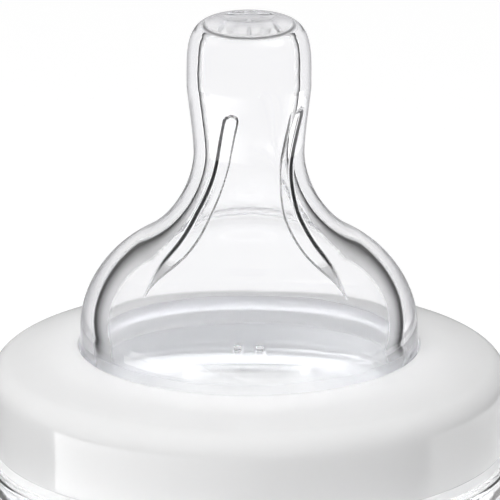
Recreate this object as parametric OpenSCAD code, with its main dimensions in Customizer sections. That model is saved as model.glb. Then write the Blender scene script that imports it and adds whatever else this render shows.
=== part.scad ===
// Wide-neck baby bottle: a clear bottle body, a clear silicone teat and the ring that screws
// the teat down on the rim. Millimetres, +Z up, origin at the centre of the base.
// The front faces -Y. Directions in degrees run from the front, counter-clockwise from above.

/* [Bottle body] */
// Height of the rim above the base
rim_h = 118; // [100:0.5:150]
// Radius of the foot
foot_r = 32; // [31:0.1:35]
// Rounding between the foot and the side
foot_round = 6; // [4:0.1:8]
// Radius of the waist, the grip
waist_r = 30.2; // [28:0.1:33]
// Height of the waist above the base
waist_z = 54; // [46:0.5:60]
// How far the shoulder band stands out past the side of the ring above it
band_proud = 0.45; // [0.2:0.05:1]
// Height of the shoulder band
band_h = 7; // [4:0.1:10]
// Rounding of the shoulder band's top edge
band_round = 1; // [0.4:0.1:1.5]
// Wall of the body
body_wall = 1.6; // [1.2:0.1:2.4]
// Thickness of the floor
floor_t = 2; // [1.4:0.1:3]
// Width of the flat ring that the bottle stands on
foot_flat = 3; // [1.5:0.1:6]
// Rise of the hollow under the floor
push_up = 1.8; // [1:0.1:3]

/* [Neck and thread] */
// Outer radius of the neck, at the foot of its thread
neck_r = 30; // [28:0.1:32]
// Wall of the neck
neck_wall = 2.5; // [1.8:0.1:3]
// Chamfer on the rim's edges
rim_chamfer = 0.4; // [0.2:0.05:0.6]
// Rise of the thread in one turn
pitch = 3.6; // [3.4:0.1:4]
// Height of each thread ridge out of its wall
ridge_h = 1.8; // [1.2:0.1:2]
// Width of a ridge at its foot
ridge_foot_w = 1.9; // [1.6:0.05:2]
// Width of a ridge at its crest
ridge_crest_w = 0.9; // [0.6:0.05:1.1]
// Distance from the rim down to the top of the neck's ridge
thread_drop = 2.2; // [1.8:0.1:2.6]
// Turn of the neck's ridge, in degrees
neck_turn = 450; // [360:10:460]
// Turn of the ring's ridge, in degrees
ring_turn = 330; // [240:10:340]
// Where the ring's ridge starts, in degrees after the neck's
ring_start = 45; // [40:5:90]

/* [Teat] */
// Height of the teat's apex above the ring's hole
teat_h = 45.2; // [43:0.1:48]
// Height of the bell's widest point above the ring's hole
bell_z = 2.4; // [2:0.1:4]
// Radius of the shoulder, where the bell turns into the flare
shoulder_r = 15; // [14:0.1:16]
// Height of that point above the ring's hole
shoulder_z = 14.75; // [14:0.05:16]
// Slope of the wall there, in degrees from level
shoulder_slope = 28; // [22:0.5:34]
// Outer radius of the stem at its narrowest
stem_r = 7.4; // [7:0.05:8]
// Height of the narrowest point above the ring's hole
stem_z = 26.5; // [25:0.1:28]
// Outer radius of the rounded tip
tip_r = 8.3; // [7.8:0.05:9]
// Height of the tip's widest point above the ring's hole
tip_z = 35.9; // [35:0.1:37.5]
// Squareness of the tip's rounding: 2 is an ellipse
tip_square = 4; // [2.5:0.1:5]
// Wall at the base
base_wall = 1.95; // [1.5:0.05:2.2]
// Wall at the shoulder
shoulder_wall = 1.65; // [1.3:0.05:2]
// Wall at the stem
stem_wall = 1.6; // [1.2:0.05:1.8]
// Wall beside the feeding chamber
tip_wall = 1.5; // [1.2:0.05:1.8]
// Roof between the chamber and the dish
roof_t = 1.4; // [1.2:0.1:2.4]
// Rounding of the chamber's top edge
chamber_round = 1.2; // [0.6:0.1:1.6]

/* [Dish and feed hole] */
// Radius of the dish's edge
dish_r = 3.5; // [3:0.1:4]
// Radius of the dish's floor
dish_floor_r = 2.8; // [2:0.1:2.9]
// Depth of the dish
dish_d = 0.5; // [0.3:0.05:0.8]
// Radius of the feed hole
feed_r = 0.25; // [0.15:0.01:0.5]

/* [Ribs in the teat] */
// Number of ribs
ribs = 4; // [3:1:6]
// Height of a rib's upper end above the ring's hole
rib_top = 33.3; // [31:0.1:34]
// Height of a rib's lower end above the ring's hole
rib_bottom = 10; // [9:0.1:12]
// Half width of a rib along the stem
rib_half_w = 1.15; // [0.8:0.05:1.4]
// Half width of a rib on the shoulder
rib_half_wide = 1.55; // [1:0.05:1.9]
// How far a rib stands out of the wall
rib_h = 0.6; // [0.4:0.05:0.9]
// Direction of the first rib's upper end, in degrees
rib_from = -19; // [-45:1:45]
// Turn of a rib from its upper to its lower end, in degrees
rib_twist = -28; // [-40:1:0]

/* [Flange, skirt and vents] */
// Thickness of the flange at its edge
flange_t = 1.7; // [1.4:0.05:2.2]
// How far the flange reaches past the neck
flange_over = 0.1; // [0:0.05:0.25]
// Wall of the skirt that stands in the mouth
skirt_wall = 1.2; // [0.8:0.05:1.6]
// Depth of the skirt below the rim
skirt_h = 7.3; // [5.8:0.1:8.5]
// Width and height of a vent slot in the skirt
vent_w = 1.2; // [0.8:0.1:1.6]
// Distance between the middles of the two vent slots
vent_gap = 3.2; // [2.4:0.1:4]
// Depth of the vent slots' middle below the rim
vent_drop = 4.5; // [3.8:0.1:4.8]
// Depth of the air grooves under the flange
groove_d = 0.25; // [0.15:0.05:0.5]

/* [Screw ring] */
// Radius of the hole that the teat stands in
hole_r = 23; // [21.5:0.1:23.4]
// Rounding of the hole's upper edge
hole_round = 0.3; // [0.2:0.05:0.5]
// Thickness of the crown
crown_t = 2; // [1.6:0.1:2.6]
// Slope of the crown at its outer edge, in degrees
crown_slope = 16; // [13:0.5:20]
// Wall of the ring's side
ring_wall = 2.85; // [2.2:0.05:3.5]
// Rounding between the crown and the side
side_round = 3.4; // [2.6:0.1:4]
// Drop from the hole's edge to the top of the straight side
side_drop = 5; // [4.6:0.1:6]
// Distance from the ring's ridge down to the ring's bottom edge
thread_tail = 0.48; // [0.2:0.02:2]
// Height of the lower lip
lip_h = 1.3; // [0.8:0.1:2]
// How far the lip flares out of the side
lip_flare = 0.4; // [0.2:0.05:0.6]
// Depth of the line above the lip
line_d = 0.15; // [0.1:0.01:0.3]
// Chamfer inside the ring's bottom edge
mouth_chamfer = 0.6; // [0.3:0.1:1]

/* [Clearances] */
// Between the teat's flange and the ring's crown
seat_gap = 0.15; // [0.05:0.05:0.3]
// Between the teat and the edge of the ring's hole
hole_gap = 0.2; // [0.1:0.05:0.4]
// Between a thread's crest and the wall that it runs along
crest_gap = 0.4; // [0.3:0.05:0.5]
// Between the flanks that pull the ring down
flank_gap = 0.3; // [0.2:0.05:0.4]
// Between the skirt and the mouth
skirt_gap = 0.4; // [0.2:0.05:0.6]
// Between the ring's bottom edge and the shoulder band
ring_gap = 0.5; // [0.3:0.1:1]

/* [Hidden] */
$fn = 128;
FRONT = -90; // the direction of -Y, as OpenSCAD counts angles
SINK = 0.5; // how deep a ridge's or rib's foot stands in its wall
STEPS = 10; // points along each curve
THREAD_STEP = 10; // degrees between a thread's sections
RUN_OUT = 40; // degrees over which a thread rises out of its wall
LEAST = 0.06; // the share of its height that a ridge has at its very end

// Neck and ring, from the mouth outwards
mouth_r = neck_r - neck_wall;
flange_r = neck_r + flange_over;
crest_r = neck_r + ridge_h; // crest of the neck's thread
ring_crest_r = neck_r + crest_gap; // crest of the ring's thread
bore_r = crest_r + crest_gap; // wall inside the ring
side_r = bore_r + ring_wall;
band_r = side_r + band_proud;

// The ring's crown, from its hole outwards, heights below the hole's edge
corner_r = side_r - side_round;
crown_end_r = corner_r + side_round * sin(crown_slope);
crown_end_drop = side_drop - side_round * cos(crown_slope);
crown_fall = crown_end_drop / (crown_end_r - hole_r); // fall of the crown for each mm outwards

// Thread
neck_thread_z = rim_h - thread_drop - pitch * neck_turn / 360;
crest_share = (ridge_h - crest_gap) / ridge_h; // part of a ridge's height that faces the other ridge
mean_w = ridge_crest_w + (ridge_foot_w - ridge_crest_w) * crest_share / 2;
ring_thread_z = neck_thread_z - mean_w - flank_gap;
ring_ridge_z = ring_thread_z + pitch * ring_start / 360 - ridge_foot_w / 2; // its lower edge

// Heights of the ring's hole, its bottom edge, and the shoulder band's top and bottom
hole_z = rim_h + flange_t + seat_gap + crown_t + (flange_r - hole_r) * crown_fall;
ring_z = ring_ridge_z - thread_tail;
deck_z = ring_z - ring_gap;
band_z = deck_z - band_h;
push_up_r = foot_r - foot_round - foot_flat;

// Teat
base_r = hole_r - hole_gap;
skirt_r = mouth_r - skirt_gap;

function mix(a, b, t) = a + (b - a) * t;
function ease(t) = let (u = min(max(t, 0), 1)) u * u * (3 - 2 * u);
function around(r, angle) = [r * cos(angle + FRONT), r * sin(angle + FRONT)];
function unit(v) = v / norm(v);

// Cubic curve from p0 to p3, without its last point
function curve(p0, p1, p2, p3, steps = STEPS) = [
    for (i = [0 : steps - 1]) let (t = i / steps, s = 1 - t)
        s * s * s * p0 + 3 * s * s * t * p1 + 3 * s * t * t * p2 + t * t * t * p3];

// Arc about a centre, with both of its ends
function arc(centre, r, from, to, steps = STEPS) = [
    for (i = [0 : steps]) let (a = mix(from, to, i / steps)) centre + r * [cos(a), sin(a)]];

// Solid along a row of sections, each a list of as many points, clockwise from the far end
module swept(sections) {
    n = len(sections[0]);
    last = len(sections) - 1;
    sides = [for (i = [0 : last - 1], j = [0 : n - 1])
        let (a = i * n + j, b = i * n + (j + 1) % n) each [[a, b, b + n], [a, b + n, a + n]]];
    ends = [[for (j = [n - 1 : -1 : 0]) j], [for (j = [0 : n - 1]) last * n + j]];
    polyhedron([for (section = sections) each section], concat(sides, ends), convexity = 6);
}

// Thread ridge from foot to crest radius, rising from z. A crest inside the foot makes an inner thread.
module thread_ridge(foot, crest, z, from, turn) {
    out = crest > foot ? 1 : -1;
    swept([for (step = [0 : THREAD_STEP : turn])
        let (
            rise = mix(LEAST, 1, min(ease(step / RUN_OUT), ease((turn - step) / RUN_OUT))),
            tip = [mix(foot, crest, rise), mix(ridge_foot_w, ridge_crest_w, rise) / 2],
            root = [foot - out * SINK, ridge_foot_w / 2],
            inner = out > 0 ? root : tip,
            outer = out > 0 ? tip : root,
            at = from + step,
            level = z + pitch * at / 360
        )
        [for (p = [[inner.x, -inner.y], [outer.x, -outer.y], [outer.x, outer.y], [inner.x, inner.y]])
            concat(around(p.x, at), level + p.y)]]);
}

// ---- bottle body ----

// Side of the body from the foot's rounding up to the shoulder band, moved inwards by a wall
function body_side(wall, low_z) = let (
        low = [foot_r - wall, low_z],
        waist = [waist_r - wall, waist_z],
        high = [band_r - wall, band_z],
        pull_low = (waist_z - low_z) / 2,
        pull_high = (band_z - waist_z) / 2
    ) concat(
        curve(low, low + [0, pull_low], waist - [0, pull_low], waist),
        curve(waist, waist + [0, pull_high], high - [0, pull_high], high),
        [high]);

function reversed(list) = [for (i = [len(list) - 1 : -1 : 0]) list[i]];

// Underside and floor: flat in the middle of the foot's ring, domed inside it
function dome(r, z, rise) = [for (i = [0 : STEPS]) let (t = i / STEPS) [r * t, z + rise * (1 - t * t)]];

module bottle_body() {
    inner_foot_round = foot_round - body_wall;
    arch = deck_z - body_wall; // the shoulder's inside, from the mouth out to the band
    outline = concat(
        dome(push_up_r, 0, push_up),
        arc([foot_r - foot_round, foot_round], foot_round, -90, 0),
        body_side(0, foot_round),
        arc([band_r - band_round, deck_z - band_round], band_round, 0, 90),
        [[neck_r, deck_z], [neck_r, rim_h - rim_chamfer], [neck_r - rim_chamfer, rim_h],
         [mouth_r + rim_chamfer, rim_h], [mouth_r, rim_h - rim_chamfer]],
        [for (i = [0 : STEPS]) let (a = 90 * i / STEPS)
            [mix(mouth_r, band_r - body_wall, sin(a)), mix(band_z, arch, cos(a))]],
        reversed(body_side(body_wall, floor_t + inner_foot_round)),
        reversed(arc([foot_r - foot_round, floor_t + inner_foot_round], inner_foot_round, -90, 0)),
        reversed(dome(push_up_r, floor_t, push_up)));
    color([0.86, 0.88, 0.9, 0.5]) {
        rotate_extrude() polygon(outline);
        thread_ridge(neck_r, crest_r, neck_thread_z, 0, neck_turn);
    }
}

// ---- teat ----

// Bell, stem and tip, from the ring's hole up to the apex: points with the wall that each has
function teat_outer() = let (
        slope = [-cos(shoulder_slope), sin(shoulder_slope)],
        foot = [base_r, hole_z + bell_z],
        shoulder = [shoulder_r, hole_z + shoulder_z],
        stem = [stem_r, hole_z + stem_z],
        tip = [tip_r, hole_z + tip_z],
        bell = (shoulder_z - bell_z) * 0.41,
        flare = (stem_z - shoulder_z) * 0.55,
        tuck = (stem_z - shoulder_z) * 0.25,
        swell = (tip_z - stem_z) * 0.3
    ) concat(
        curve(foot, foot + [0, bell], shoulder - slope * bell, shoulder),
        curve(shoulder, shoulder + slope * flare, stem - [0, tuck], stem),
        curve(stem, stem + [0, swell], tip - [0, swell * 0.4], tip),
        [for (i = [0 : STEPS]) let (a = 90 * i / STEPS)
            [tip_r * pow(cos(a), 2 / tip_square),
             hole_z + mix(tip_z, teat_h, pow(sin(a), 2 / tip_square))]]);

function teat_wall(z) = lookup(z - hole_z, [[0, base_wall], [shoulder_z, shoulder_wall],
    [stem_z, stem_wall], [tip_z, tip_wall]]);

// The inner face: the outer one moved inwards along its own normal
function teat_inner() = let (outer = teat_outer())
    [for (i = [0 : len(outer) - 2]) let (
            along = unit(outer[i + 1] - outer[max(i - 1, 0)]),
            p = outer[i] + teat_wall(outer[i].y) * [-along.y, along.x]
        ) p];

dish_edge_z = hole_z + mix(tip_z, teat_h, pow(1 - pow(dish_r / tip_r, tip_square), 1 / tip_square));
chamber_z = dish_edge_z - dish_d - roof_t;
inner_rows = [for (p = teat_inner()) if (p.y < chamber_z - chamber_round) [p.y, p.x]];

function inner_r(z) = lookup(z, inner_rows);

// Section of a rib at a height t of its run, 0 at its lower end
function rib_section(t, direction) = let (
        z = hole_z + mix(rib_bottom, rib_top, t),
        below = rib_top - rib_bottom,
        to_top = below * (1 - t),
        pill = sqrt(max(0, 1 - pow(max(0, 1 - to_top / rib_half_w), 2))),
        wedge = ease(below * t / 4.5),
        half = mix(rib_half_wide, rib_half_w, ease((t - 0.25) / 0.4)) * min(pill, wedge) + LEAST,
        slant = unit([inner_r(z + 0.8) - inner_r(z - 0.8), 1.6]),
        inward = [-slant.y, slant.x],
        r = inner_r(z),
        crest = [r, z] + inward * rib_h * mix(0.4, 1, min(pill, wedge)),
        root = [r, z] - inward * SINK,
        at = direction + rib_twist * (1 - pow(max(0, (t - 0.38) / 0.62), 1.3)),
        foot_turn = half / r * 180 / PI,
        crest_turn = foot_turn * 0.75
    )
    [concat(around(root.x, at - foot_turn), root.y), concat(around(crest.x, at - crest_turn), crest.y),
     concat(around(crest.x, at + crest_turn), crest.y), concat(around(root.x, at + foot_turn), root.y)];

module rib(direction) {
    count = 3 * STEPS;
    swept([for (i = [0 : count]) rib_section(i / count, direction)]);
}

module teat() {
    outer = [for (p = teat_outer()) if (p.x > dish_r) p];
    under = hole_z - crown_t - seat_gap; // the flange's top face where the wall leaves it
    inside_r = base_r - base_wall;
    bend = [skirt_r - skirt_wall, rim_h - flange_t * 0.7];
    turn_z = under - 1.2; // where the inside starts to widen into the skirt
    inner = [for (p = reversed(inner_rows)) [p.y, p.x]];
    // The chamber's rounding starts along the wall, which leans in there
    lean = atan((inner[1].x - inner[0].x) / (inner[0].y - inner[1].y));
    start_z = chamber_z - chamber_round * (1 - sin(lean));
    start_r = inner[0].x - tan(lean) * (start_z - inner[0].y);
    round_r = start_r - chamber_round * cos(lean);
    outline = concat(
        [[feed_r, chamber_z], [feed_r, dish_edge_z - dish_d],
         [dish_floor_r, dish_edge_z - dish_d], [dish_r, dish_edge_z]],
        reversed(outer),
        [[base_r, under - (base_r - hole_r) * crown_fall],
         [flange_r, rim_h + flange_t], [flange_r, rim_h],
         [skirt_r, rim_h], [skirt_r, rim_h - skirt_h],
         [skirt_r - skirt_wall, rim_h - skirt_h]],
        curve(bend, bend + [0, 1.2], [inside_r, turn_z - 1.5], [inside_r, turn_z]),
        [[inside_r, turn_z]],
        reversed(inner),
        arc([round_r, chamber_z - chamber_round], chamber_round, lean, 90));
    color([0.93, 0.93, 0.98, 0.6]) difference() {
        union() {
            rotate_extrude() polygon(outline);
            for (i = [0 : ribs - 1]) rib(rib_from + i * 360 / ribs);
        }
        for (side = [-1, 1]) translate([side * vent_gap / 2, 0, 0]) {
            translate([-vent_w / 2, skirt_r - skirt_wall - 1, rim_h - vent_drop - vent_w / 2])
                cube([vent_w, skirt_wall + 2, vent_w]);
            translate([-vent_w / 2, mouth_r - skirt_gap, rim_h - 1])
                cube([vent_w, flange_r, groove_d + 1]);
        }
    }
}

// ---- screw ring ----

module screw_ring() {
    start = [hole_r + hole_round, hole_z];
    end = [crown_end_r, hole_z - crown_end_drop];
    pull = (end.x - start.x) / 3;
    start_slope = 2 * atan(crown_fall) - crown_slope; // the crown bends evenly between its two slopes
    inside_round = max(0.6, side_round - 1.8);
    under_z = hole_z - crown_t - (bore_r - inside_round - hole_r) * crown_fall;
    lip_r = side_r + lip_flare;
    lip_top = ring_z + lip_h;
    outline = concat(
        arc([hole_r + hole_round, hole_z - hole_round], hole_round, 180, 90, 3),
        curve(start, start + pull * [cos(start_slope), -sin(start_slope)],
            end - pull * [cos(crown_slope), -sin(crown_slope)], end),
        arc([corner_r, hole_z - side_drop], side_round, 90 - crown_slope, 0),
        [[side_r, lip_top + line_d], [side_r - line_d, lip_top], [side_r, lip_top - line_d],
         [lip_r, ring_z + 0.3], [lip_r - 0.25, ring_z], [bore_r + mouth_chamfer, ring_z],
         [bore_r, ring_z + mouth_chamfer]],
        arc([bore_r - inside_round, under_z - inside_round], inside_round, 0, 90, 5),
        [[hole_r, hole_z - crown_t]]);
    color([0.95, 0.95, 0.95]) {
        rotate_extrude() polygon(outline);
        thread_ridge(bore_r, ring_crest_r, ring_thread_z, ring_start, ring_turn);
    }
}

bottle_body();
teat();
screw_ring();
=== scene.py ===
import math
import bpy
import numpy as np
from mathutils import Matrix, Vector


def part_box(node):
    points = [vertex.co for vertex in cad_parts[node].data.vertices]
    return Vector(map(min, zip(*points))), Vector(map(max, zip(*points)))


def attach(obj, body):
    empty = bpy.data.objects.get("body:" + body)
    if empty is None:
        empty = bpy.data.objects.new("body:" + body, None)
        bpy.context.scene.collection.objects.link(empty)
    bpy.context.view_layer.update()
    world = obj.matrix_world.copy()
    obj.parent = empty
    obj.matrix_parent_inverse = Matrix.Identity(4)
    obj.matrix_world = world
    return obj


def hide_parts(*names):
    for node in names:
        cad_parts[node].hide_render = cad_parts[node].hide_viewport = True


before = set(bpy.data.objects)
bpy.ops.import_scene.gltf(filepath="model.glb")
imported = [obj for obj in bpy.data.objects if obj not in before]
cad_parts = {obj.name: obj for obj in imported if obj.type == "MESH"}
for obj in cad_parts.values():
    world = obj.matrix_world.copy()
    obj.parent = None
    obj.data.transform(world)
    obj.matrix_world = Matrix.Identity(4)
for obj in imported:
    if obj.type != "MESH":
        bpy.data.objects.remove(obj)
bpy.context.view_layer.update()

# Wide-neck baby bottle: clear body, screw ring and clear silicone teat, on a white studio floor.
# Sizes are in millimetres and turned into metres where a mesh is made. Directions are in degrees
# from the front, -Y, counter-clockwise seen from above.

mm = 0.001
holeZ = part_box("screw_ring")[1][2] / mm  # height of the ring's hole, the seat of the teat's bell

# ---------- camera ----------

cameraSet = {
    "distance": 540.0,  # from the camera to the point it looks at
    "elevation": 15.99,  # degrees above the horizon
    "lens": 289.2, "sensor": 36.0,
    "side": 0.134,  # the camera stands this far to the right
    "aimAboveHole": 12.94,
}


def makeCamera(c):
    tilt = math.radians(c["elevation"])
    camera = bpy.data.objects.new("camera", bpy.data.cameras.new("camera"))
    bpy.context.collection.objects.link(camera)
    camera.data.lens = c["lens"]
    camera.data.sensor_width = c["sensor"]
    camera.location = (c["side"] * mm, -c["distance"] * math.cos(tilt) * mm,
                       (holeZ + c["aimAboveHole"] + c["distance"] * math.sin(tilt)) * mm)
    camera.rotation_euler = (math.pi / 2 - tilt, 0, 0)
    bpy.context.scene.camera = camera


makeCamera(cameraSet)
print("camera placed")

# ---------- shapes ----------


def mix(a, b, t):
    return a + (b - a) * t


def ease(t):  # 3u² - 2u³, with u as t held between 0 and 1
    u = np.clip(t, 0, 1)
    return u * u * (3 - 2 * u)


def easeBetween(value, start, end):  # 0 up to start and 1 from end on
    return ease((value - start) / (end - start))


def bezier(p0, p1, p2, p3, count):  # cubic from p0 to p3, weights (1-t)³, 3(1-t)²t, 3(1-t)t², t³
    t = np.linspace(0, 1, count + 1)[:, None]
    s = 1 - t
    p0, p1, p2, p3 = map(np.array, (p0, p1, p2, p3))
    return s ** 3 * p0 + 3 * s * s * t * p1 + 3 * s * t * t * p2 + t ** 3 * p3


def arc(centre, radius, start, end, count):  # centre + radius · (cos a, sin a)
    a = np.radians(np.linspace(start, end, count + 1))
    return np.array(centre) + radius * np.stack([np.cos(a), np.sin(a)], axis=-1)


def roundCorner(before, corner, after, radius, count=5):
    # arc tangent to both sides: it starts radius / tan(half the inner angle) from the corner
    before, corner, after = map(np.array, (before, corner, after))
    u, v = before - corner, after - corner
    u, v = u / np.hypot(*u), v / np.hypot(*v)
    half = math.acos(np.clip(u @ v, -1, 1)) / 2
    middle = corner + (u + v) / np.hypot(*(u + v)) * radius / math.sin(half)
    reach = radius / math.tan(half)
    first, last = corner + u * reach - middle, corner + v * reach - middle
    turn = math.atan2(first[0] * last[1] - first[1] * last[0], first @ last)
    a = math.atan2(first[1], first[0]) + np.linspace(0, turn, count + 1)
    return middle + radius * np.stack([np.cos(a), np.sin(a)], axis=-1)


def roundedPath(corners, count=5):
    # corners are (r, z, radius); the first and the last are kept as they are
    points = [c[:2] for c in corners]
    inner = [roundCorner(points[i - 1], points[i], points[i + 1], corners[i][2], count)
             for i in range(1, len(corners) - 1)]
    return np.concatenate([[points[0]], *inner, [points[-1]]])


def spaced(path, gap):  # each stretch of the path cut into equal steps no longer than gap
    steps = np.maximum(1, np.ceil(np.hypot(*np.diff(path, axis=0).T) / gap)).astype(int)
    start = np.repeat(np.arange(len(steps)), steps)
    share = (np.arange(steps.sum()) - np.repeat(np.cumsum(steps) - steps, steps)) / np.repeat(steps, steps)
    cut = path[start] + share[:, None] * (path[start + 1] - path[start])
    return np.concatenate([cut, path[-1:]])


def pathNormals(path):  # (dz, -dr) of the direction of travel, so they leave the solid
    along = np.gradient(path, axis=0)
    along /= np.maximum(np.hypot(*along.T), 1e-9)[:, None]
    return np.stack([along[:, 1], -along[:, 0]], axis=-1)


def clearTo(normals, tintFrom=0.33):
    # how glancing a face may be seen before it takes its painted edge shades, so that the far side stays
    # clear
    low = math.radians(cameraSet["elevation"])
    behind = 1 - abs(normals[:, 0] * math.cos(low) - normals[:, 1] * math.sin(low))
    return np.maximum(0, (behind - tintFrom) / (1 - tintFrom))


def revolved(radius, height, angle):  # (r sin a, -r cos a, z) on a grid of rows and columns
    a = np.radians(angle)
    return np.stack(np.broadcast_arrays(radius * np.sin(a), -radius * np.cos(a), height), axis=-1)


def gridFaces(rows, columns, closed):
    # quads between neighbouring rows and columns; the columns close round the axis
    ids = np.arange(rows * columns).reshape(rows, columns)
    low = ids if closed else ids[:-1]
    high = np.roll(ids, -1, axis=0) if closed else ids[1:]
    return np.stack([low, np.roll(low, -1, axis=1), np.roll(high, -1, axis=1), high], axis=-1)


def outline(ids):  # the ids round a block of the grid: along its first row, up, back and down
    return np.concatenate([ids[0, :-1], ids[:-1, -1], ids[-1, :0:-1], ids[:0:-1, 0]])


def addMesh(name, points, faces, material, body, slot, node=None, smooth=True, **values):
    # values are attributes with one number for each point
    mesh = bpy.data.meshes.new(name)
    mesh.from_pydata((points * mm).tolist(), [], faces)
    mesh.polygons.foreach_set("use_smooth", np.full(len(mesh.polygons), smooth))
    mesh.materials.append(material)
    for key in values:
        mesh.attributes.new(key, "FLOAT", "POINT").data.foreach_set("value", values[key])
    mesh.update()
    piece = bpy.data.objects.new(name, mesh)
    bpy.context.collection.objects.link(piece)
    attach(piece, body)
    if node:
        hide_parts(node)
    print(name, "made,", len(faces), "faces")
    return piece


# ---------- materials ----------


def newMaterial(name):
    material = bpy.data.materials.new(name)
    material.use_nodes = True
    nodes, links = material.node_tree.nodes, material.node_tree.links
    nodes.clear()
    output = nodes.new("ShaderNodeOutputMaterial")
    shader = nodes.new("ShaderNodeBsdfPrincipled")
    links.new(shader.outputs[0], output.inputs["Surface"])
    return material, nodes, links, shader


def noiseOf(nodes, links, scale, detail, coordinates):
    noise = nodes.new("ShaderNodeTexNoise")
    noise.inputs["Scale"].default_value = scale
    noise.inputs["Detail"].default_value = detail
    links.new(coordinates.outputs["Object"], noise.inputs["Vector"])
    return noise.outputs["Fac"]


def rangeOf(nodes, links, value, low, high, fromLow=0.3, fromHigh=0.7, smooth=False):
    ranged = nodes.new("ShaderNodeMapRange")
    ranged.interpolation_type = "SMOOTHSTEP" if smooth else "LINEAR"
    for socket, number in (("From Min", fromLow), ("From Max", fromHigh), ("To Min", low), ("To Max", high)):
        ranged.inputs[socket].default_value = number
    links.new(value, ranged.inputs["Value"])
    return ranged.outputs["Result"]


def attributeOf(nodes, name):
    attribute = nodes.new("ShaderNodeAttribute")
    attribute.attribute_name = name
    return attribute.outputs["Fac"]


def mathOf(nodes, links, operation, a, b):
    worked = nodes.new("ShaderNodeMath")
    worked.operation = operation
    links.new(a, worked.inputs[0])
    links.new(b, worked.inputs[1])
    return worked.outputs[0]


def mixOf(nodes, links, share, below, over):  # below is a socket, over a plain colour
    mixed = nodes.new("ShaderNodeMix")
    mixed.data_type = "RGBA"
    mixed.inputs[7].default_value = (*over, 1)
    links.new(below, mixed.inputs[6])
    links.new(share, mixed.inputs["Factor"])
    return mixed.outputs[2]


def bumpOf(nodes, links, shader, height, distance, strength=1.0):
    bump = nodes.new("ShaderNodeBump")
    bump.inputs["Distance"].default_value = distance * mm
    bump.inputs["Strength"].default_value = strength
    links.new(height, bump.inputs["Height"])
    links.new(bump.outputs["Normal"], shader.inputs["Normal"])


ringFinish = {
    "colour": (0.87, 0.87, 0.872),
    "holeShadeColour": (0.62, 0.62, 0.63),  # painted shade on the wall of the hole, standing in for the shade in the gap to the teat
    "roughness": (0.07, 0.11),  # where the moulding is smoothest and dullest
    "ripple": 0.006,  # height of the moulded skin's faint waves
    "cloudScale": 60.0, "rippleScale": 160.0, "ior": 1.49,
    "glowThrough": 0.8, "glowReach": 4.0,  # share and reach in mm of the light that spreads in the plastic
}


def ringPlastic(c):
    material, nodes, links, shader = newMaterial("ringPlastic")
    place = nodes.new("ShaderNodeTexCoord")
    plain = nodes.new("ShaderNodeRGB")
    plain.outputs[0].default_value = (*c["colour"], 1)
    # the hole's wall takes a darker colour: painted shade of the gap to the teat
    links.new(mixOf(nodes, links, attributeOf(nodes, "hole"), plain.outputs[0], c["holeShadeColour"]),
              shader.inputs["Base Color"])
    shader.inputs["IOR"].default_value = c["ior"]
    shader.inputs["Subsurface Weight"].default_value = c["glowThrough"]
    shader.inputs["Subsurface Radius"].default_value = (1, 1, 1)
    shader.inputs["Subsurface Scale"].default_value = c["glowReach"] * mm
    cloud = noiseOf(nodes, links, c["cloudScale"], 3, place)
    links.new(rangeOf(nodes, links, cloud, *c["roughness"]), shader.inputs["Roughness"])
    bumpOf(nodes, links, shader, noiseOf(nodes, links, c["rippleScale"], 2, place), c["ripple"])
    return material


bodyFinish = {
    "colour": (0.955, 0.96, 0.965),
    # painted edge shades at a glancing look, standing in for the dark that refraction shows there
    "edgeShades": (((0.84, 0.85, 0.87), 0.35, 0.55), ((0.62, 0.63, 0.65), 0.58, 0.88)),
    # painted dark line where total reflection keeps light in the wall, and its colour
    "wallShadeLine": ((0.80, 0.835, 0.15), (0.89, 1.0, 0.25)), "wallShadeLineEnds": 1.025,
    "shadeLineColour": (0.02, 0.02, 0.025),
    "roughness": (0.03, 0.06),
    "ripple": 0.01,
    "cloudScale": 80.0, "rippleScale": 120.0, "ior": 1.49,
}
teatFinish = {
    "colour": (0.97, 0.97, 0.978),
    # painted edge shades of the outer face at a glancing look, standing in for the dark that refraction shows
    # there, and where each starts and is whole
    "edgeShades": (((0.87, 0.87, 0.90), 0.35, 0.55), ((0.36, 0.36, 0.39), 0.58, 0.85)),
    # A painted dark line, standing in for the shade where light in the wall can't leave through the inner
    # face, with a soft inner side. It has steps, each from and to a share of the look at which that begins,
    # and how much each takes.
    "wallShadeLine": ((0.77, 0.82, 0.5), (0.85, 0.97, 0.5)), "wallShadeLineEnds": 1.045,
    "shadeLineColour": (0.005, 0.005, 0.006),
    "foldShadeLine": (0.1, 0.45),  # from where to where a fold's painted dark line, standing in for shade on rib flanks and the chamber's rounding, grows to its full strength
    "matt": 0.26,  # how much rougher the matt collar inside the base is
    # painted shade in the tip's dish: how much of it, and its colour
    "dishShare": 0.7, "dishShadeColour": (0.45, 0.45, 0.47),
    "roughness": (0.015, 0.04),
    "ripple": 0.008,
    "cloudScale": 80.0, "rippleScale": 120.0, "ior": 1.41,
}


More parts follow.
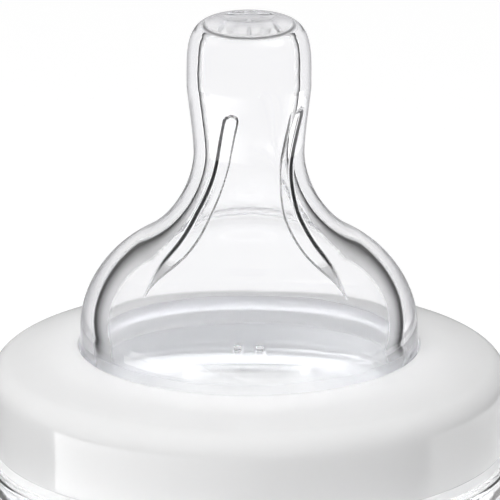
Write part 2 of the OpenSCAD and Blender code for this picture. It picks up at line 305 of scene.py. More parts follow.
def clearPlastic(name, c):
    # each face takes on its painted edge shades as the look grows glancing: 0 is face on and 1 along the wall
    material, nodes, links, shader = newMaterial(name)
    place = nodes.new("ShaderNodeTexCoord")
    shader.inputs["IOR"].default_value = c["ior"]
    glance = nodes.new("ShaderNodeLayerWeight")
    glance.inputs["Blend"].default_value = 0.5
    plain = nodes.new("ShaderNodeRGB")
    plain.outputs[0].default_value = (*c["colour"], 1)
    colour = plain.outputs[0]
    look = rangeOf(nodes, links, glance.outputs["Facing"], 0, 1, 0, 1)
    links.new(attributeOf(nodes, "clearTo"), look.node.inputs["From Min"])
    # painted edge shades: darker colours on the outer face as the look grows glancing
    for edgeShade, starts, ends in c["edgeShades"]:
        share = rangeOf(nodes, links, look, 0, 1, starts, ends, smooth=True)
        share = mathOf(nodes, links, "MULTIPLY", share, attributeOf(nodes, "outer"))
        colour = mixOf(nodes, links, share, colour, edgeShade)
    # painted shade in the tip's dish
    if "dishShare" in c:
        dish = rangeOf(nodes, links, attributeOf(nodes, "dish"), 0, c["dishShare"], 0, 1)
        colour = mixOf(nodes, links, dish, colour, c["dishShadeColour"])
    # the painted dark line: facing from inside the wall, against that of total reflection, 1 - sqrt(1 - 1 /
    # ior²)
    whole = 1 - math.sqrt(1 - 1 / c["ior"] ** 2)
    facing = glance.outputs["Facing"]
    line = mathOf(nodes, links, "ADD", *[rangeOf(nodes, links, facing, 0, most, whole * starts, whole * ends)
                                         for starts, ends, most in c["wallShadeLine"]])
    ends = rangeOf(nodes, links, facing, 1, 0, whole, whole * c["wallShadeLineEnds"])
    line = mathOf(nodes, links, "MULTIPLY", line, ends)
    line = mathOf(nodes, links, "MULTIPLY", line, attributeOf(nodes, "inner"))
    if "foldShadeLine" in c:
        # the folds' painted dark lines join the wall line
        folds = rangeOf(nodes, links, attributeOf(nodes, "edge"), 0, 1, *c["foldShadeLine"])
        line = mathOf(nodes, links, "MAXIMUM", line, folds)
    line = mathOf(nodes, links, "MULTIPLY", line, nodes.new("ShaderNodeNewGeometry").outputs["Backfacing"])
    # the painted dark lines go into the base colour, and where they are whole no light passes the wall
    links.new(mixOf(nodes, links, line, colour, c["shadeLineColour"]), shader.inputs["Base Color"])
    links.new(rangeOf(nodes, links, line, 1, 0, 0, 1), shader.inputs["Transmission Weight"])
    cloud = noiseOf(nodes, links, c["cloudScale"], 2, place)
    rough = rangeOf(nodes, links, cloud, *c["roughness"])
    if "matt" in c:
        matt = rangeOf(nodes, links, attributeOf(nodes, "matt"), 0, c["matt"], 0, 1)
        rough = mathOf(nodes, links, "ADD", rough, matt)
    links.new(rough, shader.inputs["Roughness"])
    bumpOf(nodes, links, shader, noiseOf(nodes, links, c["rippleScale"], 1, place), c["ripple"])
    return material


# ---------- teat ----------

teat = {
    "height": 45.2,  # heights in this part are above the ring's hole
    "bellZ": 2.4, "baseR": 22.8,
    "shoulderR": 15.0, "shoulderZ": 14.75, "shoulderSlope": 28.0,
    "stemR": 7.4, "stemZ": 26.5,
    "tipR": 8.3, "tipZ": 35.9, "tipSquare": 4.0,
    # how far each curve keeps its direction, as shares of the heights it spans
    "bellPull": 0.41, "flarePull": 0.55, "tuckPull": 0.25, "swellPulls": (0.3, 0.12),
    "walls": ((0, 1.95), (14.75, 1.65), (26.5, 1.6), (35.9, 1.5)),
    "roof": 1.4, "chamberRound": 1.2,
    "dishR": 3.5, "dishFloorR": 2.8, "dishDepth": 0.5, "feedR": 0.25,
    "dishEdge": 0.3, "dishRound": 0.22, "dishFloorRound": 0.3, "feedRound": 0.06,
    "ribs": 4, "ribTop": 33.3, "ribBottom": 10.0, "ribHalf": 1.15, "ribHalfWide": 1.55,
    "ribNarrows": (0.25, 0.65),  # shares of a rib's length between which it narrows
    "ribHeight": 0.6, "ribFrom": -19.0, "ribTwist": -28.0, "ribPoint": 4.5,
    "ribCrest": 0.6, "ribFoot": 0.4,  # flat share of a rib's width, and share of its height at its point
    "ribUpright": 0.38, "ribBend": 1.3,  # it turns above this share of its length, to this power
    "flangeThick": 1.7, "flangeR": 30.1, "crownFall": 0.1807, "crownAndSeat": 2.15, "seatR": 23.0,
    "flangeRound": (0.3, 0.4), "baseRound": 0.25,
    "rimBelow": 5.1325, "skirtR": 27.1, "skirtWall": 1.2, "skirtDepth": 7.3,
    "skirtRound": 0.3, "skirtRoot": 0.15,
    # the bend from the bell's inner face out to the skirt's: its ends below the crown and the rim, and pulls
    "bendEnds": (1.2, 0.31), "bendPulls": (1.5, 1.2),
    "ventDrop": 4.5, "ventSize": 1.2, "ventColumns": (2, 4), "grooveDepth": 0.25,
    # The painted wall line fades at the shoulder's back: between these shares of the way to the back, and
    # between these heights from shoulderZ, counted upwards and then downwards.
    "backFades": (0.55, 0.8), "shoulderUp": (-3.2, -1.7), "shoulderDown": (-3.8, -2.3),
    "mattTop": 4.2, "mattFade": 4.0,  # the inner face turns matt from this height down, over this much
    "tipMatt": 0.3,  # share of that at the tip's middle
    "edgeShare": 0.75, "roofShare": 0.42,  # how strongly the painted dark lines on the flanks of ribs and the chamber's rounding show
    "lowShare": 0.3,  # and how much of that a rib's point has
    "roofSharp": 8,  # how narrow the rounding's painted line is
    "roofFades": (-0.7, 0.2),  # from where to where it grows, with -1 at the back and 1 at the front
    "columns": 300, "ribColumns": 14,  # round the teat, and on either half of each rib
    "rowGap": 1.0, "ribRowGap": 0.45,
    "ribMargin": (0.4, 0.6),  # rows are close together this far below and above the ribs
    "ribPack": 1.1,  # the ribs' columns reach this many half widths to either side
    # where columns start and stop following the ribs: above the seat, and below the chamber's roof
    "followUp": (-2.0, 7.0), "followTop": (0.5, 5.5),
}


def teatOuter(c):  # bell, flare and tip as curves, then a superellipse over the top
    fall = math.radians(c["shoulderSlope"])
    slope = np.array([-math.cos(fall), math.sin(fall)])
    foot, shoulder = np.array([c["baseR"], c["bellZ"]]), np.array([c["shoulderR"], c["shoulderZ"]])
    stem, tip = np.array([c["stemR"], c["stemZ"]]), np.array([c["tipR"], c["tipZ"]])
    up = np.array([0, 1])
    bell = (c["shoulderZ"] - c["bellZ"]) * c["bellPull"]
    flare, tuck = ((c["stemZ"] - c["shoulderZ"]) * c[pull] for pull in ("flarePull", "tuckPull"))
    swell, lowSwell = ((c["tipZ"] - c["stemZ"]) * pull for pull in c["swellPulls"])
    turn = np.radians(np.linspace(0, 90, 33))
    over = np.stack([c["tipR"] * np.cos(turn) ** (2 / c["tipSquare"]),
                     mix(c["tipZ"], c["height"], np.sin(turn) ** (2 / c["tipSquare"]))], axis=-1)
    return np.concatenate([
        bezier(foot, foot + bell * up, shoulder - slope * bell, shoulder, 22)[:-1],
        bezier(shoulder, shoulder + slope * flare, stem - tuck * up, stem, 22)[:-1],
        bezier(stem, stem + swell * up, tip - lowSwell * up, tip, 14)[:-1], over])


def ribHalfAt(c, z):  # half width of a rib, from its wide lower part to its narrow upper part
    t = (z - c["ribBottom"]) / (c["ribTop"] - c["ribBottom"])
    return mix(c["ribHalfWide"], c["ribHalf"], easeBetween(t, *c["ribNarrows"]))


def ribField(c, z, angle, radius):
    # height of the ribs over the wall: a flat crest with eased flanks, round at the top, a point below
    run = c["ribTop"] - c["ribBottom"]
    t = (z - c["ribBottom"]) / run
    half = ribHalfAt(c, z)
    point = ease(run * t / c["ribPoint"])
    across = np.radians(angle) * radius / half / np.maximum(point, 0.05)
    above = np.maximum(0, 1 - run * (1 - t) / half)
    away = np.hypot(across, above)
    crest = 1 - easeBetween(away, c["ribCrest"], 1)
    return c["ribHeight"] * mix(c["ribFoot"], 1, point) * crest * (t > 0)


def ribTurn(c, z):  # degrees that a rib has turned at a height, and that the columns turn with it
    t = (z - c["ribBottom"]) / (c["ribTop"] - c["ribBottom"])
    return c["ribTwist"] * (1 - np.clip((t - c["ribUpright"]) / (1 - c["ribUpright"]), 0, 1) ** c["ribBend"])


def makeTeat(c, material):
    outer = teatOuter(c)
    square = c["tipSquare"]
    dishZ = mix(c["tipZ"], c["height"], (1 - (c["dishR"] / c["tipR"]) ** square) ** (1 / square))
    chamberZ = dishZ - c["dishDepth"] - c["roof"]
    wall = np.interp(outer[:, 1], *zip(*c["walls"]))
    inner = outer - pathNormals(outer) * wall[:, None]
    inner = inner[inner[:, 1] < chamberZ - c["chamberRound"]][::-1]
    rim = -c["rimBelow"]
    under = -c["crownAndSeat"]
    baseR, skirtIn = c["baseR"], c["skirtR"] - c["skirtWall"]
    floorZ = dishZ - c["dishDepth"]
    lowSkirt = rim - c["skirtDepth"]
    windowLow, windowHigh = (rim - c["ventDrop"] + s * c["ventSize"] / 2 for s in (-1, 1))

    outside = roundedPath([
        (skirtIn, lowSkirt, 0), (c["skirtR"], lowSkirt, c["skirtRound"]), (c["skirtR"], rim, c["skirtRoot"]),
        (c["flangeR"], rim, c["flangeRound"][0]), (c["flangeR"], rim + c["flangeThick"], c["flangeRound"][1]),
        (baseR, under - (baseR - c["seatR"]) * c["crownFall"], c["baseRound"]), (baseR, c["bellZ"], 0)])[1:-1]
    split = np.argmax(outside[:, 1] > windowHigh)
    window = np.array([[c["skirtR"], windowLow], [c["skirtR"], windowHigh]])
    tipRows = outer[outer[:, 0] > c["dishR"] + c["dishEdge"]]
    dish = roundedPath([
        (*tipRows[-1], 0), (c["dishR"], dishZ, c["dishRound"]),
        (c["dishFloorR"], floorZ, c["dishFloorRound"]), (c["feedR"], floorZ, c["feedRound"]),
        (c["feedR"], chamberZ, c["feedRound"]), (c["dishR"], chamberZ, 0)])[1:-1]
    # the chamber's rounding starts along the wall, which leans in there
    lean = math.atan((inner[1, 0] - inner[0, 0]) / (inner[0, 1] - inner[1, 1]))
    rounding = c["chamberRound"]
    startR = inner[0, 0] - math.tan(lean) * (chamberZ - rounding * (1 - math.sin(lean)) - inner[0, 1])
    roofCentre = (startR - rounding * math.cos(lean), chamberZ - rounding)
    roofArc = arc(roofCentre, rounding, 90, math.degrees(lean), 12)
    insideR = baseR - c["walls"][0][1]
    (belowCrown, belowRim), (pull, lowPull) = c["bendEnds"], c["bendPulls"]
    bendTop, bendFoot = under - belowCrown, rim - belowRim
    bend = bezier((insideR, bendTop), (insideR, bendTop - pull), (skirtIn, bendFoot + lowPull),
                  (skirtIn, bendFoot), 12)
    lower = np.concatenate([bend, [[skirtIn, windowHigh], [skirtIn, windowLow]],
                            roundCorner((skirtIn, rim), (skirtIn, lowSkirt), (c["skirtR"], lowSkirt),
                                        c["skirtRound"])])
    outerPath = np.concatenate([
        spaced(np.concatenate([outside[:split], window, outside[split:], tipRows]), c["rowGap"]), dish])
    below, above = c["ribMargin"]
    ribbed = np.flatnonzero((inner[:, 1] < c["ribTop"] + above) & (inner[:, 1] > c["ribBottom"] - below))
    first, last = ribbed[[0, -1]]
    innerPath = np.concatenate([
        spaced(np.concatenate([roofArc, inner[:first + 1]]), c["rowGap"])[:-1],
        spaced(inner[first:last + 1], c["ribRowGap"])[:-1],
        spaced(np.concatenate([inner[last:], lower]), c["rowGap"])])
    path = np.concatenate([outerPath, innerPath])
    isInner = np.arange(len(path)) >= len(outerPath)
    r, z = path[:, :1], path[:, 1:]

    # Columns: even outside; inside they turn with the ribs and stand closer together on them.
    even = np.arange(c["columns"]) * 360 / c["columns"]
    sector = 360 / c["ribs"]
    offset = (even + sector / 2) % sector - sector / 2
    near = np.degrees(c["ribPack"] * ribHalfAt(c, z) / np.maximum(r, 3))
    step = 360 / c["columns"] * c["ribColumns"]
    packed = np.where(abs(offset) < step, offset * near / step, np.sign(offset) * (
        near + (abs(offset) - step) * (sector / 2 - near) / (sector / 2 - step)))
    follow = isInner[:, None] * easeBetween(z, *c["followUp"]) * easeBetween(chamberZ - z, *c["followTop"])
    angle = even + follow * (packed - offset + c["ribFrom"] + ribTurn(c, z))
    height = ribField(c, z, packed, r) * (follow > 0.999)
    normal = pathNormals(path)
    groove = np.isclose(z, rim, atol=0.02) & (r > c["skirtR"] + 0.1) & (r < c["flangeR"] + 0.1)
    back, (ventNear, ventFar) = c["columns"] // 2, c["ventColumns"]
    fromBack = abs(np.arange(c["columns"]) - back)
    lift = c["grooveDepth"] * (groove & (fromBack >= ventNear) & (fromBack <= ventFar))
    points = revolved(r + height * normal[:, :1], z + height * normal[:, 1:] + lift + holeZ, angle)

    # Vent slots: two windows in the skirt at the back, each closed by walls between its two outlines.
    rows, columns = points.shape[:2]
    ids = np.arange(rows * columns).reshape(rows, columns)
    faces = gridFaces(rows, columns, True)
    keep = np.ones(faces.shape[:2], bool)
    outLow, inLow = np.flatnonzero(np.isclose(z[:, 0], windowLow))
    outHigh, inHigh = np.flatnonzero(np.isclose(z[:, 0], windowHigh))
    walls = []
    for left, right in ((back - ventFar, back - ventNear), (back + ventNear, back + ventFar)):
        keep[outLow:outHigh, left:right] = False
        keep[inHigh:inLow, left:right] = False
        a = outline(ids[outLow:outHigh + 1, left:right + 1])
        b = outline(ids[inHigh:inLow + 1, left:right + 1][::-1])
        walls.append(np.stack([a, np.roll(a, -1), np.roll(b, -1), b], axis=-1))
    quads = np.concatenate([faces[keep], *walls]).tolist()

    # Folds' painted dark lines, standing in for shade: 1 halfway up a rib's end, edgeShare halfway up its
    # flanks, and roofShare along the chamber's rounding, where the line fades towards the back.
    ribShare = height / c["ribHeight"]
    ribTip = easeBetween(z - c["ribTop"] + ribHalfAt(c, z), -0.3, 0.3)
    roundShare = np.clip((z - chamberZ) / rounding + 1, 0, 1) ** c["roofSharp"] * isInner[:, None]
    ribLow = mix(c["lowShare"], 1, easeBetween((z - c["ribBottom"]) / c["ribPoint"], 0.2, 1.2))
    forward = np.cos(np.radians(angle))  # 1 at the front and -1 at the back
    edge = (4 * ribShare * (1 - ribShare) * ribLow * mix(c["edgeShare"], 1, ribTip)
            + 4 * roundShare * (1 - roundShare) * c["roofShare"] * easeBetween(forward, *c["roofFades"]))
    # the inner face has its painted wall line from the seat up into the chamber's rounding
    upright = easeBetween(z[:, 0], -1, 2) * easeBetween(chamberZ - z[:, 0], 0, 0.3 * rounding)
    # the tip's dish, which takes the painted shade and part of the tip's matt
    dishShare = easeBetween(c["dishR"] - r[:, 0], -0.6, 0) * ~isInner
    overChamber = easeBetween(z[:, 0] - chamberZ, -0.3, 0) * (r[:, 0] < c["stemR"])
    matt = np.maximum(easeBetween(c["mattTop"] - z[:, 0], 0, c["mattFade"]) * isInner,
                      c["tipMatt"] * overChamber * (isInner | (dishShare > 0)))
    # the back of the shoulder lies along the look from the front, and its painted wall line would cross the
    # bell
    aboveShoulder = z - c["shoulderZ"]
    backShoulder = (easeBetween(-forward, *c["backFades"]) * easeBetween(aboveShoulder, *c["shoulderUp"])
                    * easeBetween(-aboveShoulder, *c["shoulderDown"]))
    inner = (upright * isInner)[:, None] * (1 - backShoulder)
    addMesh("teatShell", points.reshape(-1, 3), quads, material, "teat", "clear_silicone", "teat",
            inner=inner.ravel(), outer=np.repeat(1.0 - isInner, columns),
            clearTo=np.repeat(clearTo(normal) * (z[:, 0] < c["stemZ"]), columns),
            matt=np.repeat(matt, columns), edge=edge.ravel(), dish=np.repeat(dishShare, columns))


makeTeat(teat, clearPlastic("clearSilicone", teatFinish))

# ---------- threads ----------

thread = {
    "pitch": 3.6, "height": 1.8, "footHalf": 0.95, "crestHalf": 0.45,
    "blend": 0.08,  # how far the flanks' easing reaches past crest and foot
    "runOut": 40.0,  # degrees over which its ends rise
}


def ridgeField(c, z, angle, startZ, start, turn):
    # height of a ridge that climbs pitch / 360 a degree: a flat crest, eased flanks, and eased ends
    height = 0
    for lap in range(2):
        at = angle + 360 * lap
        ends = np.minimum(ease((at - start) / c["runOut"]), ease((start + turn - at) / c["runOut"]))
        off = abs(z - startZ - c["pitch"] * at / 360)
        flank = 1 - easeBetween(off, c["crestHalf"] - c["blend"], c["footHalf"] + c["blend"])
        height = np.maximum(height, c["height"] * ends * flank)
    return height


# ---------- screw ring ----------

ring = {
    "holeR": 23.0, "holeRound": 0.3, "crownThick": 2.0, "crownSlope": 16.0, "crownFall": 0.1807,
    "sideR": 35.05, "sideRound": 3.4, "sideDrop": 5.0,
    "lip": 1.3, "lipFlare": 0.4, "lipRound": 0.3,
    "lipStep": 0.02,  # how far inside the side the lip's upper edge ends, at the line round the ring
    "lineDepth": 0.15, "lineRound": 0.15, "lineCorner": 0.05,
    "boreR": 32.2, "insideRound": 1.6, "mouthChamfer": 0.6, "chamferRounds": (0.2, 0.15),
    "threadZ": 109.7111, "threadStart": 45.0, "threadTurn": 330.0,
    "columns": 360, "rowGap": 0.8, "threadGap": 0.13,
}


def makeRing(c, t, material):
    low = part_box("screw_ring")[0][2] / mm - holeZ
    slope = math.radians(c["crownSlope"])
    startSlope = math.radians(2 * math.degrees(math.atan(c["crownFall"])) - c["crownSlope"])
    cornerR = c["sideR"] - c["sideRound"]
    start = np.array([c["holeR"] + c["holeRound"], 0])
    end = np.array([cornerR + c["sideRound"] * math.sin(slope),
                    c["sideRound"] * math.cos(slope) - c["sideDrop"]])
    pull = (end[0] - start[0]) / 3
    crown = bezier(end, end + pull * np.array([-math.cos(slope), math.sin(slope)]),
                   start + pull * np.array([math.cos(startSlope), -math.sin(startSlope)]), start, 12)
    lipTop = low + c["lip"]
    side, boreR, line, chamfer = (c[key] for key in ("sideR", "boreR", "lineDepth", "mouthChamfer"))
    lipR = side + c["lipFlare"]
    underZ = -c["crownThick"] - (boreR - c["insideRound"] - c["holeR"]) * c["crownFall"]
    skin = roundedPath([
        (boreR, low, 0), (lipR, low, c["lipRound"]),
        (side - c["lipStep"], lipTop - line, c["lineRound"]), (side - line, lipTop, c["lineCorner"]),
        (side, lipTop + line, c["lineRound"]), (side, -c["sideDrop"], 0)])[1:]
    bore = roundedPath([
        (c["holeR"], 0, 0), (c["holeR"], -c["crownThick"], c["holeRound"]),
        (boreR, underZ, c["insideRound"]), (boreR, low + chamfer, c["chamferRounds"][0]),
        (boreR + chamfer, low, c["chamferRounds"][1]), (lipR, low, 0)])[1:-1]
    outerPath = spaced(np.concatenate([
        skin, arc((cornerR, -c["sideDrop"]), c["sideRound"], 0, 90 - c["crownSlope"], 14)[1:], crown[1:],
        arc((c["holeR"] + c["holeRound"], -c["holeRound"]), c["holeRound"], 90, 180, 5)[1:]]), c["rowGap"])
    wall = abs(bore[:, 0] - boreR) < 1e-6
    top, foot = np.flatnonzero(wall)[[0, -1]]
    threadPath = spaced(bore[top:foot + 1], c["threadGap"])
    path = np.concatenate([outerPath, bore[:top], threadPath, bore[foot + 1:]])
    r, z = path[:, :1], path[:, 1:] + holeZ
    angle = np.arange(c["columns"]) * 360 / c["columns"]
    ridge = ridgeField(t, z, angle, c["threadZ"], c["threadStart"], c["threadTurn"])
    height = ridge * (abs(r - boreR) < 1e-6)
    points = revolved(r - height, z, angle)
    faces = gridFaces(*points.shape[:2], True).reshape(-1, 4).tolist()
    # where the painted shade goes: the hole's wall and its rounding
    hole = ease((c["holeR"] + c["holeRound"] - r) / 0.2) * np.ones(len(angle))
    addMesh("ringShell", points.reshape(-1, 3), faces, material, "ring", "ring_plastic", "screw_ring",
            hole=hole.ravel())


makeRing(ring, thread, ringPlastic(ringFinish))

# ---------- bottle ----------

bottle = {
    "rimZ": 118.0, "footR": 32.0, "footRound": 6.0, "waistR": 30.2, "waistZ": 54.0,
    "bandR": 35.5, "bandZ": 101.2311, "deckZ": 108.2311, "bandRound": 1.0,
    "wall": 1.6, "floor": 2.0, "pushUp": 1.8, "pushUpR": 23.0,
    "mouthR": 27.5, "neckR": 30.0, "neckRoot": 0.3, "rimRound": 0.35, "mouthRoot": 0.8,
    "threadZ": 111.3, "threadTurn": 450.0,
    "columns": 256, "rowGap": 1.5, "threadGap": 0.16,
}


def bodySide(c, wall, lowZ):  # two cubics, upright at the foot, at the waist and at the shoulder band
    low, waist = np.array([c["footR"] - wall, lowZ]), np.array([c["waistR"] - wall, c["waistZ"]])
    high = np.array([c["bandR"] - wall, c["bandZ"]])
    below, above = np.array([0, (waist[1] - low[1]) / 2]), np.array([0, (high[1] - waist[1]) / 2])
    return np.concatenate([bezier(low, low + below, waist - below, waist, 36)[:-1],
                           bezier(waist, waist + above, high - above, high, 36)])


def dome(c, z):  # from the axis outwards, z + rise · (1 - t²)
    t = np.linspace(0, 1, 17)[1:, None]
    return np.concatenate([c["pushUpR"] * t, z + c["pushUp"] * (1 - t * t)], axis=-1)


def makeBottle(c, t, material):
    innerRound = c["footRound"] - c["wall"]
    deck, neck, rim, mouth = c["deckZ"], c["neckR"], c["rimZ"], c["mouthR"]
    arch = np.radians(np.linspace(0, 90, 19))[1:, None]
    archPath = np.concatenate([mix(mouth, c["bandR"] - c["wall"], np.sin(arch)),
                               mix(c["bandZ"], deck - c["wall"], np.cos(arch))], axis=-1)
    shoulder = roundedPath([
        (c["bandR"], c["bandZ"], 0), (c["bandR"], deck, c["bandRound"]), (neck, deck, c["neckRoot"]),
        (neck, rim, c["rimRound"]), (mouth, rim, c["rimRound"]), (mouth, deck - c["wall"], c["mouthRoot"]),
        (*archPath[3], 0)])[1:-1]
    footCentre = (c["footR"] - c["footRound"], c["footRound"])
    innerCentre = (footCentre[0], c["floor"] + innerRound)
    path = np.concatenate([
        dome(c, 0), arc(footCentre, c["footRound"], -90, 0, 12),
        bodySide(c, 0, c["footRound"])[1:], shoulder, archPath[4:],
        bodySide(c, c["wall"], innerCentre[1])[::-1][1:],
        arc(innerCentre, innerRound, 0, -90, 10)[1:], dome(c, c["floor"])[::-1]])
    threaded = abs(path[:, 0] - neck) < 1e-6
    first, last = np.flatnonzero(threaded)[[0, -1]]
    path = np.concatenate([spaced(path[:first + 1], c["rowGap"])[:-1],
                           spaced(path[first:last + 1], c["threadGap"])[:-1],
                           spaced(path[last:], c["rowGap"])])
    r, z = path[:, :1], path[:, 1:]
    angle = np.arange(c["columns"]) * 360 / c["columns"]
    ridge = ridgeField(t, z, angle, c["threadZ"], 0, c["threadTurn"])
    points = revolved(r + ridge * (abs(r - neck) < 1e-6), z, angle)
    rows, columns = points.shape[:2]
    ids = np.arange(rows * columns).reshape(rows, columns)
    poles = np.array([[0, 0, c["pushUp"]], [0, 0, c["floor"] + c["pushUp"]]])
    bottom, top = rows * columns, rows * columns + 1
    lowFan = np.stack([np.full(columns, bottom), np.roll(ids[0], -1), ids[0]], axis=-1)
    highFan = np.stack([ids[-1], np.roll(ids[-1], -1), np.full(columns, top)], axis=-1)
    faces = gridFaces(rows, columns, False).reshape(-1, 4).tolist() + lowFan.tolist() + highFan.tolist()
    isInner = np.arange(rows) > np.argmax(z[:, 0] > c["rimZ"] - 0.01)
    inner = np.append(np.repeat(isInner, columns), [0, 1]) * 1.0
    clear = np.append(np.repeat(clearTo(pathNormals(path)), columns), [1, 1])
    points = np.concatenate([points.reshape(-1, 3), poles])
    addMesh("bottleShell", points, faces, material, "bottle", "clear_plastic",
            "bottle_body", inner=inner, outer=1 - inner, clearTo=clear)


makeBottle(bottle, thread, clearPlastic("clearBody", bodyFinish))

# ---------- volume scale ----------

scale = {
    "first": 20, "last": 260, "step": 10, "numbered": 50,  # ml
    "tick": 3.2, "longTick": 6.4,
    "numbersEnd": -0.8, "ticksFrom": 1.2,  # where numbers end and ticks start, to the right of the front
    "digitHeight": 4.2, "digitGap": 1.1,
    "digitWide": 0.56,  # share of the height
    "line": 0.55, "proud": 0.05, "sunk": 0.03,  # the print's width, and how it stands on and in the wall
    "unitAbove": 3.0, "strokeStep": 0.35,
}


def ovalStroke(cx, cy, rx, ry, start, end):  # (cx + rx cos a, cy + ry sin a) in steps of 15 degrees
    a = np.radians(np.linspace(start, end, max(3, int(abs(end - start) / 15)) + 1))
    return np.stack([cx + rx * np.cos(a), cy + ry * np.sin(a)], axis=-1)


def glyphs(w):  # strokes of each sign in a box w wide and 1 high, and whether each stroke closes on itself
    m = w / 2
    return {
        "0": [(ovalStroke(m, 0.5, m, 0.5, 0, 345), True)],
        "1": [(np.array([[w * 0.2, 0.8], [w * 0.6, 1], [w * 0.6, 0]]), False)],
        "2": [(np.concatenate([ovalStroke(m, 0.7, m, 0.3, 165, -40), [[0, 0], [w, 0]]]), False)],
        "5": [(np.concatenate([[[w * 0.9, 1], [w * 0.12, 1], [w * 0.04, 0.56]],
                               ovalStroke(m * 0.95, 0.32, m, 0.31, 110, -150)]), False)],
        "m": [(np.array([[0, 0], [0, 0.62]]), False),
              (np.concatenate([ovalStroke(w * 0.35, 0.4, w * 0.35, 0.22, 180, 0), [[w * 0.7, 0]]]), False),
              (np.concatenate([ovalStroke(w * 1.05, 0.4, w * 0.35, 0.22, 180, 0), [[w * 1.4, 0]]]), False)],
        "l": [(np.array([[0, 0], [0, 1]]), False)],
    }


def volumeHeights(c, volumes):
    # volume below each point of the inner face: the sum of π dz (r1² + r1 r2 + r2²) / 3 along it
    innerRound = c["footRound"] - c["wall"]
    path = np.concatenate([
        [[0, c["floor"] + c["pushUp"]]], dome(c, c["floor"]),
        arc((c["footR"] - c["footRound"], c["floor"] + innerRound), innerRound, -90, 0, 10),
        bodySide(c, c["wall"], c["floor"] + innerRound)[1:]])
    r, z = path.T
    held = np.cumsum(np.pi * np.diff(z) * (r[1:] ** 2 + r[1:] * r[:-1] + r[:-1] ** 2) / 3) / 1000
    rising = z[1:] > c["floor"] + c["pushUp"]
    return np.interp(volumes, held[rising], z[1:][rising])


def strokeSolid(c, path, closed):
    # four corners at each point of the stroke: half a line to either side, sunk in the wall and proud of it
    path = spaced(np.concatenate([path, path[:1]]) if closed else path, c["strokeStep"])
    along = np.gradient(path, axis=0)
    if closed:
        path = path[:-1]
        along = np.roll(path, -1, axis=0) - np.roll(path, 1, axis=0)
    side = np.stack([-along[:, 1], along[:, 0]], axis=-1) / np.hypot(*along.T)[:, None] * c["line"] / 2
    flat = np.stack([path - side, path + side, path + side, path - side], axis=1)
    depth = np.broadcast_to([-c["sunk"], -c["sunk"], c["proud"], c["proud"]], flat.shape[:2])
    points = np.concatenate([flat, depth[..., None]], axis=-1)
    faces = gridFaces(*points.shape[:2], closed).reshape(-1, 4)
    if not closed:
        last = 4 * len(path)
        faces = np.concatenate([faces, [[3, 2, 1, 0], [last - 4, last - 3, last - 2, last - 1]]])
    return points.reshape(-1, 3), faces


def wordStrokes(c, word, end, base):  # the word's strokes, ending at a place across
    signs = glyphs(c["digitWide"])
    wide = [max(stroke[:, 0].max() for stroke, _ in signs[sign]) * c["digitHeight"] for sign in word]
    left = end - sum(wide) - c["digitGap"] * (len(word) - 1)
    placed = []
    for sign, width in zip(word, wide):
        placed += [(stroke * c["digitHeight"] + [left, base], closed) for stroke, closed in signs[sign]]
        left += width + c["digitGap"]
    return placed


def makeScale(c, b, material):
    volumes = np.arange(c["first"], c["last"] + 1, c["step"])
    heights = volumeHeights(b, volumes)
    strokes = []
    for volume, z in zip(volumes, heights):
        numbered = volume % c["numbered"] == 0
        tick = c["longTick"] if numbered else c["tick"]
        strokes.append((np.array([[c["ticksFrom"], z], [c["ticksFrom"] + tick, z]]), False))
        word = str(volume) if numbered else ""
        strokes += wordStrokes(c, word, c["numbersEnd"], z - c["digitHeight"] / 2)
    strokes += wordStrokes(c, "ml", c["numbersEnd"], heights[-1] + c["unitAbove"])
    points, faces, count = [], [], 0
    for path, closed in strokes:
        solid, quads = strokeSolid(c, path, closed)
        points.append(solid)
        faces.append(quads + count)
        count += len(solid)
    x, z, depth = np.concatenate(points).T
    side = bodySide(b, 0, b["footRound"])
    radius = np.interp(z, side[:, 1], side[:, 0])
    wrapped = revolved(radius + depth, z, np.degrees(x / radius))
    faces = np.concatenate(faces).tolist()
    addMesh("volumeScale", wrapped, faces, material, "bottle", "scale_ink", smooth=False)


scaleInk = {
    "colour": (0.22, 0.25, 0.32), "worn": (0.30, 0.33, 0.40),
    "roughness": (0.45, 0.6), "ripple": 0.004,
    "cloudScale": 900.0, "rippleScale": 2500.0,
}


def printedInk(c):
    material, nodes, links, shader = newMaterial("scaleInk")
    place = nodes.new("ShaderNodeTexCoord")
    plain = nodes.new("ShaderNodeRGB")
    plain.outputs[0].default_value = (*c["colour"], 1)
    cloud = noiseOf(nodes, links, c["cloudScale"], 3, place)
    links.new(mixOf(nodes, links, rangeOf(nodes, links, cloud, 0, 1), plain.outputs[0], c["worn"]),
              shader.inputs["Base Color"])
    links.new(rangeOf(nodes, links, cloud, *c["roughness"]), shader.inputs["Roughness"])
    bumpOf(nodes, links, shader, noiseOf(nodes, links, c["rippleScale"], 2, place), c["ripple"])
    return material


makeScale(scale, bottle, printedInk(scaleInk))

# ---------- studio ----------

studio = {
    # What sky and floor give matt surfaces, gloss, the camera, glass, matt surfaces behind glass, and gloss
    # that sees through glass. Behind glass the floor stands in for the lamps, whose light doesn't get there.
    "skyGlow": (0.425, 0.58, 1.0, 0.9, 0.8, 0.82),
    "floorGlow": (0.2, 0.25, 0.8, 0.74, 8.5, 0.75),
    "floorColour": 0.35, "floorHalf": 6000.0,
    "aim": (0.0, 0.0, 120.0),  # where both lamps point
    "leftLight": {"place": (-657.8, -239.4, 140.0), "width": 682.8, "height": 900.0, "watts": 1.2},
    "keyLight": {"place": (-170.0, -515.0, 960.0), "width": 800.0, "height": 800.0, "watts": 5.6},
    # cards round the object, their angles counter-clockwise from +X
    "leftPanel": {"from": 180.0, "to": 272.0, "distance": 300.0, "foot": 2.0, "top": 60.0, "glow": 5.0,
                  "columns": 32},
    "rightPanel": {"from": -8.0, "to": 70.0, "distance": 300.0, "foot": 2.0, "top": 60.0, "glow": 2.0,
                   "columns": 32},
    "bounces": 28, "mattBounces": 10,
}


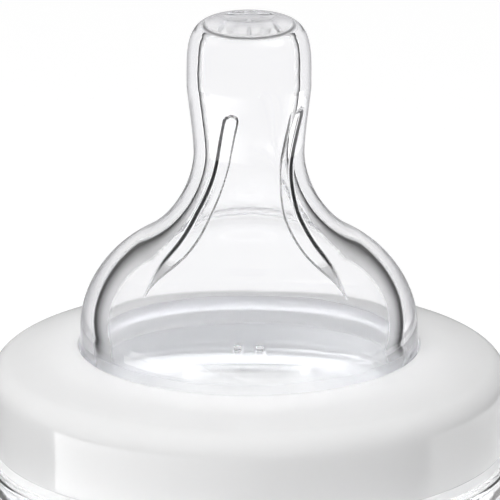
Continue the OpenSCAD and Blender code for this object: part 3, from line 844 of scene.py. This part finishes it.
def glowOf(nodes, links, matt, gloss, camera, glass, inside, mirrored):
    # a strength for each kind of look; inside and mirrored are for matt and gloss that see it through glass
    path = nodes.new("ShaderNodeLightPath")
    strength = rangeOf(nodes, links, path.outputs["Is Camera Ray"], matt, camera, 0, 1)
    through = path.outputs["Is Transmission Ray"]
    shares = [(path.outputs["Is Glossy Ray"], gloss - matt), (through, glass - matt)]
    for depth, level in (("Diffuse Depth", inside), ("Glossy Depth", mirrored)):
        after = rangeOf(nodes, links, path.outputs[depth], 0, 1, 0, 1)
        shares.append((mathOf(nodes, links, "MULTIPLY", through, after), level - glass))
    for share, more in shares:
        strength = mathOf(nodes, links, "ADD", strength, rangeOf(nodes, links, share, 0, more, 0, 1))
    return strength


def makeWorld(c):
    world = bpy.data.worlds.new("studio")
    bpy.context.scene.world = world
    world.use_nodes = True
    nodes, links = world.node_tree.nodes, world.node_tree.links
    nodes.clear()
    output, sky = nodes.new("ShaderNodeOutputWorld"), nodes.new("ShaderNodeBackground")
    links.new(sky.outputs[0], output.inputs["Surface"])
    sky.inputs["Color"].default_value = (1, 1, 1, 1)
    links.new(glowOf(nodes, links, *c["skyGlow"]), sky.inputs["Strength"])


def makeFloor(c):
    mesh = bpy.data.meshes.new("floor")
    corners = np.array([(-1, -1, 0), (1, -1, 0), (1, 1, 0), (-1, 1, 0)]) * c["floorHalf"] * mm
    mesh.from_pydata(corners.tolist(), [], [(0, 1, 2, 3)])
    floor = bpy.data.objects.new("floor", mesh)
    bpy.context.collection.objects.link(floor)
    material = bpy.data.materials.new("floorWhite")
    material.use_nodes = True
    nodes, links = material.node_tree.nodes, material.node_tree.links
    nodes.clear()
    output, both = nodes.new("ShaderNodeOutputMaterial"), nodes.new("ShaderNodeAddShader")
    matt, glow = nodes.new("ShaderNodeBsdfDiffuse"), nodes.new("ShaderNodeEmission")
    matt.inputs["Color"].default_value = (*[c["floorColour"]] * 3, 1)
    links.new(glowOf(nodes, links, *c["floorGlow"]), glow.inputs["Strength"])
    links.new(matt.outputs[0], both.inputs[0])
    links.new(glow.outputs[0], both.inputs[1])
    links.new(both.outputs[0], output.inputs["Surface"])
    mesh.materials.append(material)


def makeAreaLight(name, c, aim):
    lamp = bpy.data.lights.new(name, "AREA")
    lamp.shape = "RECTANGLE"
    lamp.size, lamp.size_y, lamp.energy = c["width"] * mm, c["height"] * mm, c["watts"]
    light = bpy.data.objects.new(name, lamp)
    bpy.context.collection.objects.link(light)
    away = np.array(c["place"]) - np.array(aim)
    away = away / np.linalg.norm(away)
    light.location = np.array(c["place"]) * mm
    light.rotation_euler = (math.acos(away[2]), 0, math.atan2(away[1], away[0]) + math.pi / 2)
    light.visible_camera = light.visible_glossy = light.visible_transmission = False


def makePanel(name, c):
    # a curved card that only gloss sees: bright along one upright edge, and as white as the sky at the other
    count = c["columns"]
    a = np.radians(np.linspace(c["from"], c["to"], count + 1))
    rows = [np.stack([c["distance"] * np.cos(a), c["distance"] * np.sin(a), np.full(count + 1, z)], axis=-1)
            for z in (c["foot"], c["top"])]
    ids = np.arange(2 * count + 2).reshape(2, -1)
    quads = np.stack([ids[0, :-1], ids[1, :-1], ids[1, 1:], ids[0, 1:]], axis=-1)
    mesh = bpy.data.meshes.new(name)
    mesh.from_pydata((np.concatenate(rows) * mm).tolist(), [], quads.tolist())
    share = mesh.attributes.new("share", "FLOAT", "POINT")
    share.data.foreach_set("value", np.tile(np.linspace(1, 0, count + 1), 2))
    panel = bpy.data.objects.new(name, mesh)
    bpy.context.collection.objects.link(panel)
    material = bpy.data.materials.new(name)
    material.use_nodes = True
    nodes, links = material.node_tree.nodes, material.node_tree.links
    nodes.clear()
    output, both = nodes.new("ShaderNodeOutputMaterial"), nodes.new("ShaderNodeMixShader")
    clear, glow = nodes.new("ShaderNodeBsdfTransparent"), nodes.new("ShaderNodeEmission")
    strength = rangeOf(nodes, links, attributeOf(nodes, "share"), 1, c["glow"], 0, 1)
    links.new(strength, glow.inputs["Strength"])
    links.new(nodes.new("ShaderNodeLightPath").outputs["Is Glossy Ray"], both.inputs[0])
    links.new(clear.outputs[0], both.inputs[1])
    links.new(glow.outputs[0], both.inputs[2])
    links.new(both.outputs[0], output.inputs["Surface"])
    mesh.materials.append(material)


makeWorld(studio)
makeFloor(studio)
for name in ("leftPanel", "rightPanel"):
    makePanel(name, studio[name])
for name in ("leftLight", "keyLight"):
    makeAreaLight(name, studio[name], studio["aim"])
bpy.context.scene.view_settings.view_transform = "Standard"
cycles = bpy.context.scene.cycles
cycles.max_bounces = cycles.transmission_bounces = cycles.glossy_bounces = studio["bounces"]
cycles.diffuse_bounces = studio["mattBounces"]
print("studio made")
